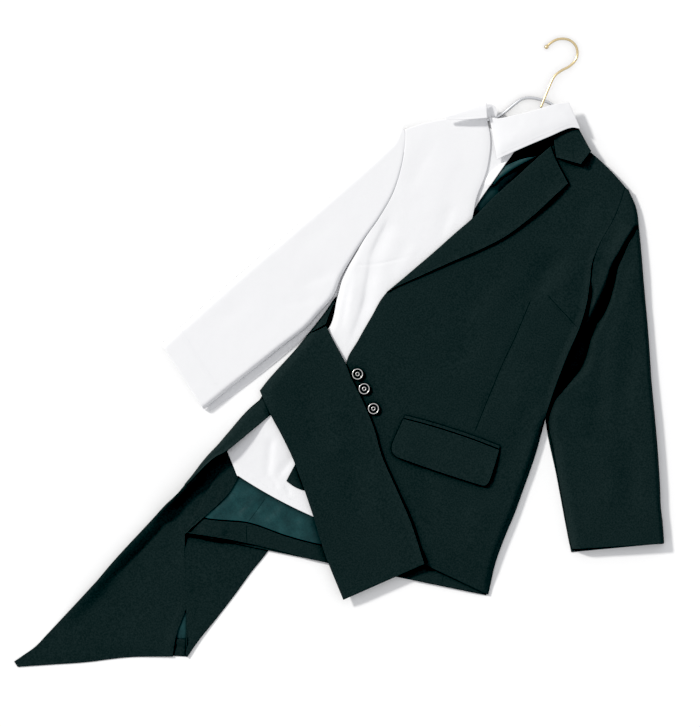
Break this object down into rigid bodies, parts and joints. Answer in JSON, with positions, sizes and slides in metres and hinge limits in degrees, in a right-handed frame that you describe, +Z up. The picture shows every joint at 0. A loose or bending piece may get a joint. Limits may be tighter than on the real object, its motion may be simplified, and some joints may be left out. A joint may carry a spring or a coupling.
{
  "type": "patchwork blazer on a wire hanger",
  "caption": "Jacket laid flat on a wire hanger: a plain shirt half with collar and sleeve joined to a tailored blazer half with notch lapel, flap pocket, wrap panel and long pointed tail.",
  "frame": {"origin": "on the surface the garment lies on, under the middle of its bounding box", "axes": "+Y from the hem towards the collar and hook, +X towards the wearer's left sleeve, +Z up from the surface"},
  "size_m": [0.8857, 1.2076, 0.0218],
  "materials": {
    "suiting": "matt fine twill suiting, very dark green",
    "shirting": "matt plain-weave shirting, white",
    "lining": "satin lining, teal",
    "button_metal": "silver-coloured rim",
    "button_enamel": "dark glossy centre",
    "chrome_wire": "bright wire",
    "gilt_wire": "gilt wire"
  },
  "bodies": {
    "root": {"back": "suiting", "back_hem_facing": "suiting", "back_neck_facing": "suiting", "blazer_collar": "suiting", "blazer_front_left": "suiting", "blazer_lapel": "suiting", "blazer_sleeve_top": "suiting", "blazer_sleeve_under": "suiting", "button_lower": "button_metal", "button_lower_centre": "button_enamel", "button_middle": "button_metal", "button_middle_centre": "button_enamel", "button_upper": "button_metal", "button_upper_centre": "button_enamel", "facing_tab": "suiting", "hanger_hook": "gilt_wire", "hanger_wire": "chrome_wire", "lining_hem": "lining", "lining_neck": "lining", "pocket_flap": "suiting", "pocket_welt": "suiting", "shirt_collar_leaf_left": "shirting", "shirt_collar_leaf_right": "shirting", "shirt_collar_stand": "shirting", "shirt_front_right": "shirting", "shirt_placket_left": "shirting", "shirt_sleeve_top": "shirting", "shirt_sleeve_under": "shirting", "side_piece": "suiting", "side_strip": "suiting", "tail_back": "suiting", "tail_front": "suiting", "tail_lining": "lining", "wrap_panel": "suiting"}
  },
  "joints": []
}
